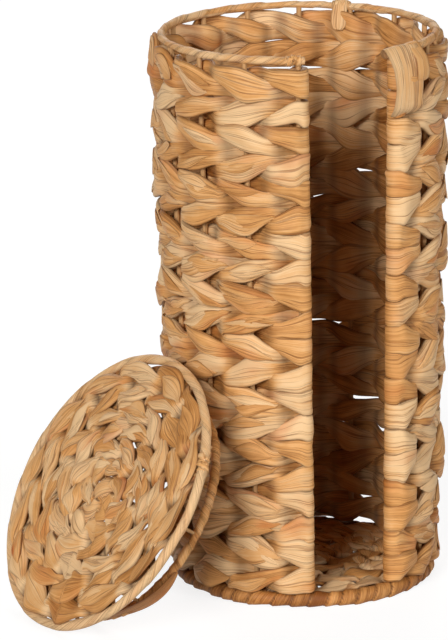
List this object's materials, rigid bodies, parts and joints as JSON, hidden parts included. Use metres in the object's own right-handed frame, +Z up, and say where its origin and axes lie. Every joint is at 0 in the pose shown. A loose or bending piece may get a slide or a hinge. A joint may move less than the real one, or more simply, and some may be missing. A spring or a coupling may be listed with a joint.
{
  "type": "toilet roll storage holder",
  "caption": "Tall round twined-leaf basket that stores a stack of toilet rolls, with an open front slot, wrapped rim and base rings, and a loose woven lid leaning on its side.",
  "frame": {"origin": "on the basket's axis, in the plane of the floor it stands on", "axes": "+Z up along the basket's axis; the front slot faces -Y; the lid leans on the -X side"},
  "size_m": [0.2796, 0.2058, 0.34],
  "materials": {
    "wall_leaf": "dried water-hyacinth leaf, satin, golden tan",
    "flat_leaf": "dried water-hyacinth leaf, satin, golden tan",
    "wrap_leaf": "dried leaf strip wound on wire, satin, pale tan",
    "stake_wire": "steel wire coated tan to match the leaf",
    "frame_wire": "plain drawn steel wire, hidden in its wrap"
  },
  "bodies": {
    "basket": {"base_centre_knot": "wrap_leaf", "base_hub_wire": "frame_wire", "base_ring_wire": "frame_wire", "base_ring_wrap": "wrap_leaf", "base_short_spokes": "stake_wire", "base_spokes": "stake_wire", "base_weave_round_1": "flat_leaf", "base_weave_round_2": "flat_leaf", "base_weave_round_3": "flat_leaf", "base_weave_round_4": "flat_leaf", "base_weave_round_5": "flat_leaf", "rim_wire": "frame_wire", "rim_wrap": "wrap_leaf", "slot_post_left": "stake_wire", "slot_post_right": "stake_wire", "wall_stakes": "stake_wire", "weave_row_01": "wall_leaf", "weave_row_02": "wall_leaf", "weave_row_03": "wall_leaf", "weave_row_04": "wall_leaf", "weave_row_05": "wall_leaf", "weave_row_06": "wall_leaf", "weave_row_07": "wall_leaf", "weave_row_08": "wall_leaf", "weave_row_09": "wall_leaf", "weave_row_10": "wall_leaf", "weave_row_11": "wall_leaf", "weave_row_12": "wall_leaf", "weave_row_13": "wall_leaf", "weave_row_14": "wall_leaf", "weave_row_15": "wall_leaf", "weave_row_16": "wall_leaf", "weave_row_17": "wall_leaf", "weave_row_18": "wall_leaf", "weave_row_19": "wall_leaf", "weave_row_20": "wall_leaf"},
    "lid": {"lid_centre_knot": "wrap_leaf", "lid_collar_legs": "stake_wire", "lid_collar_wire": "frame_wire", "lid_collar_wrap": "wrap_leaf", "lid_hub_wire": "frame_wire", "lid_rim_wire": "frame_wire", "lid_rim_wrap": "wrap_leaf", "lid_short_spokes": "stake_wire", "lid_spokes": "stake_wire", "lid_weave_round_1": "flat_leaf", "lid_weave_round_2": "flat_leaf", "lid_weave_round_3": "flat_leaf", "lid_weave_round_4": "flat_leaf", "lid_weave_round_5": "flat_leaf", "lid_weave_round_6": "flat_leaf"}
  },
  "joints": [
    {"name": "lid_lift", "type": "slide", "parent": "basket", "child": "lid", "axis": [-0.8281, -0.155, 0.5388], "range_m": [0, 0.25]}
  ]
}
